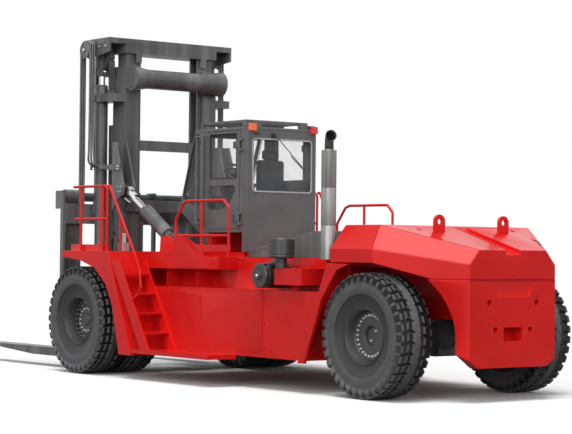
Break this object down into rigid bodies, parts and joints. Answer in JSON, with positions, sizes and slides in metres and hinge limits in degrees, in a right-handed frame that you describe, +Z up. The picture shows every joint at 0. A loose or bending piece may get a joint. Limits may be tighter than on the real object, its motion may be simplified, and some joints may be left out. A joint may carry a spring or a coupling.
{
  "type": "heavy counterbalance forklift truck",
  "caption": "Heavy counterbalance forklift truck with a tilting telescopic mast, fork carriage with adjustable forks, steered rear axle, cab and cast counterweight.",
  "frame": {"origin": "on the ground under the middle of the truck's length, forks included, on its centre plane", "axes": "+X forward, from the counterweight to the fork tips; +Y to the driver's left; +Z up"},
  "size_m": [10.96, 3.97, 5.125],
  "materials": {
    "red_paint": "gloss",
    "cab_paint": "satin",
    "mast_paint": "satin",
    "tyre": "matte",
    "rim_paint": "satin",
    "chrome": "polished",
    "steel": "brushed",
    "black_plastic": "matte",
    "seat_cloth": "matte",
    "glass": "clear",
    "orange_lens": "gloss",
    "red_lens": "gloss"
  },
  "bodies": {
    "truck": {"air_cleaner": "black_plastic", "arch_panels": "red_paint", "cab_floor": "cab_paint", "cab_front": "cab_paint", "cab_glass": "glass", "cab_rails": "red_paint", "cab_rear": "cab_paint", "cab_roof": "cab_paint", "chassis": "red_paint", "cleaner_box": "red_paint", "counterweight": "red_paint", "drive_axle": "mast_paint", "engine": "mast_paint", "engine_hood": "mast_paint", "exhaust": "steel", "fenders": "red_paint", "handrails": "red_paint", "lamp_brackets": "cab_paint", "lifting_eyes": "red_paint", "lower_weight": "red_paint", "orange_lamps": "orange_lens", "red_lamps": "red_lens", "roof_guard": "cab_paint", "seat": "seat_cloth", "side_tanks": "red_paint", "stairs": "red_paint", "steer_axle": "mast_paint", "steering_console": "black_plastic", "tail_frame": "red_paint", "tilt_feet": "red_paint"},
    "front_wheels_left": {"front_tyres_left": "tyre", "front_rims_left": "rim_paint"},
    "steer_left": {"knuckle_left": "mast_paint"},
    "rear_wheel_left": {"rear_tyre_left": "tyre", "rear_rim_left": "rim_paint"},
    "door_left": {"door_left": "cab_paint", "door_glass_left": "glass"},
    "front_wheels_right": {"front_tyres_right": "tyre", "front_rims_right": "rim_paint"},
    "steer_right": {"knuckle_right": "mast_paint"},
    "rear_wheel_right": {"rear_tyre_right": "tyre", "rear_rim_right": "rim_paint"},
    "door_right": {"door_right": "cab_paint", "door_glass_right": "glass"},
    "mast": {"outer_mast": "mast_paint", "mast_top_tube": "mast_paint", "tilt_brackets": "mast_paint", "lift_barrels": "mast_paint", "rear_chains": "mast_paint"},
    "lift_frame": {"inner_mast": "mast_paint", "lift_rods": "chrome", "sheaves": "mast_paint", "front_chains": "mast_paint"},
    "carriage": {"carriage": "mast_paint"},
    "fork_left": {"fork_left": "mast_paint"},
    "tilt_barrel_left": {"tilt_barrel_left": "mast_paint"},
    "tilt_rod_left": {"tilt_rod_left": "chrome"},
    "fork_right": {"fork_right": "mast_paint"},
    "tilt_barrel_right": {"tilt_barrel_right": "mast_paint"},
    "tilt_rod_right": {"tilt_rod_right": "chrome"}
  },
  "joints": [
    {"name": "front_wheels_left_roll", "type": "hinge", "parent": "truck", "child": "front_wheels_left", "pos_m": [1.77, 1.435, 0.8], "axis": [0, 1, 0], "continuous": true},
    {"name": "front_wheels_right_roll", "type": "hinge", "parent": "truck", "child": "front_wheels_right", "pos_m": [1.77, -1.435, 0.8], "axis": [0, 1, 0], "continuous": true},
    {"name": "steer_left", "type": "hinge", "parent": "truck", "child": "steer_left", "pos_m": [-4.28, 0.9, 0.8], "axis": [0, 0, 1], "range_deg": [-50, 50]},
    {"name": "rear_wheel_left_roll", "type": "hinge", "parent": "steer_left", "child": "rear_wheel_left", "pos_m": [-4.28, 1.227, 0.8], "axis": [0, 1, 0], "continuous": true},
    {"name": "steer_right", "type": "hinge", "parent": "truck", "child": "steer_right", "pos_m": [-4.28, -0.9, 0.8], "axis": [0, 0, 1], "range_deg": [-50, 50]},
    {"name": "rear_wheel_right_roll", "type": "hinge", "parent": "steer_right", "child": "rear_wheel_right", "pos_m": [-4.28, -1.227, 0.8], "axis": [0, 1, 0], "continuous": true},
    {"name": "door_left", "type": "hinge", "parent": "truck", "child": "door_left", "pos_m": [-0.516, 0.642, 2.88], "axis": [0, 0, 1], "range_deg": [0, 95]},
    {"name": "door_right", "type": "hinge", "parent": "truck", "child": "door_right", "pos_m": [-0.516, -0.642, 2.88], "axis": [0, 0, -1], "range_deg": [0, 95]},
    {"name": "mast_tilt", "type": "hinge", "parent": "truck", "child": "mast", "pos_m": [2.1, 0, 0.64], "axis": [0, 1, 0], "range_deg": [-10, 5]},
    {"name": "mast_lift", "type": "slide", "parent": "mast", "child": "lift_frame", "axis": [0, 0, 1], "range_m": [-0.05, 2], "deforming": ["rear_chains"]},
    {"name": "carriage_lift", "type": "slide", "parent": "lift_frame", "child": "carriage", "axis": [0, 0, 1], "range_m": [-0.05, 2], "deforming": ["front_chains"]},
    {"name": "fork_left_shift", "type": "slide", "parent": "carriage", "child": "fork_left", "axis": [0, 1, 0], "range_m": [-0.95, 0.06]},
    {"name": "fork_right_shift", "type": "slide", "parent": "carriage", "child": "fork_right", "axis": [0, -1, 0], "range_m": [-0.95, 0.06]},
    {"name": "tilt_barrel_left", "type": "hinge", "parent": "truck", "child": "tilt_barrel_left", "pos_m": [0.65, 0.98, 2.01], "axis": [0, 1, 0], "range_deg": [-7, 4]},
    {"name": "tilt_rod_left", "type": "slide", "parent": "tilt_barrel_left", "child": "tilt_rod_left", "axis": [0.8621, 0, 0.5067], "range_m": [-0.35, 0.18]},
    {"name": "tilt_barrel_right", "type": "hinge", "parent": "truck", "child": "tilt_barrel_right", "pos_m": [0.65, -0.98, 2.01], "axis": [0, 1, 0], "range_deg": [-7, 4]},
    {"name": "tilt_rod_right", "type": "slide", "parent": "tilt_barrel_right", "child": "tilt_rod_right", "axis": [0.8621, 0, 0.5067], "range_m": [-0.35, 0.18]}
  ],
  "couplings": [
    {"joint": "steer_right", "follows": "steer_left", "ratio": 1},
    {"joint": "carriage_lift", "follows": "mast_lift", "ratio": 1},
    {"joint": "tilt_barrel_left", "follows": "mast_tilt", "ratio": 0.65},
    {"joint": "tilt_rod_left", "follows": "mast_tilt", "m_per_rad": 1.93},
    {"joint": "tilt_barrel_right", "follows": "mast_tilt", "ratio": 0.65},
    {"joint": "tilt_rod_right", "follows": "mast_tilt", "m_per_rad": 1.93}
  ]
}
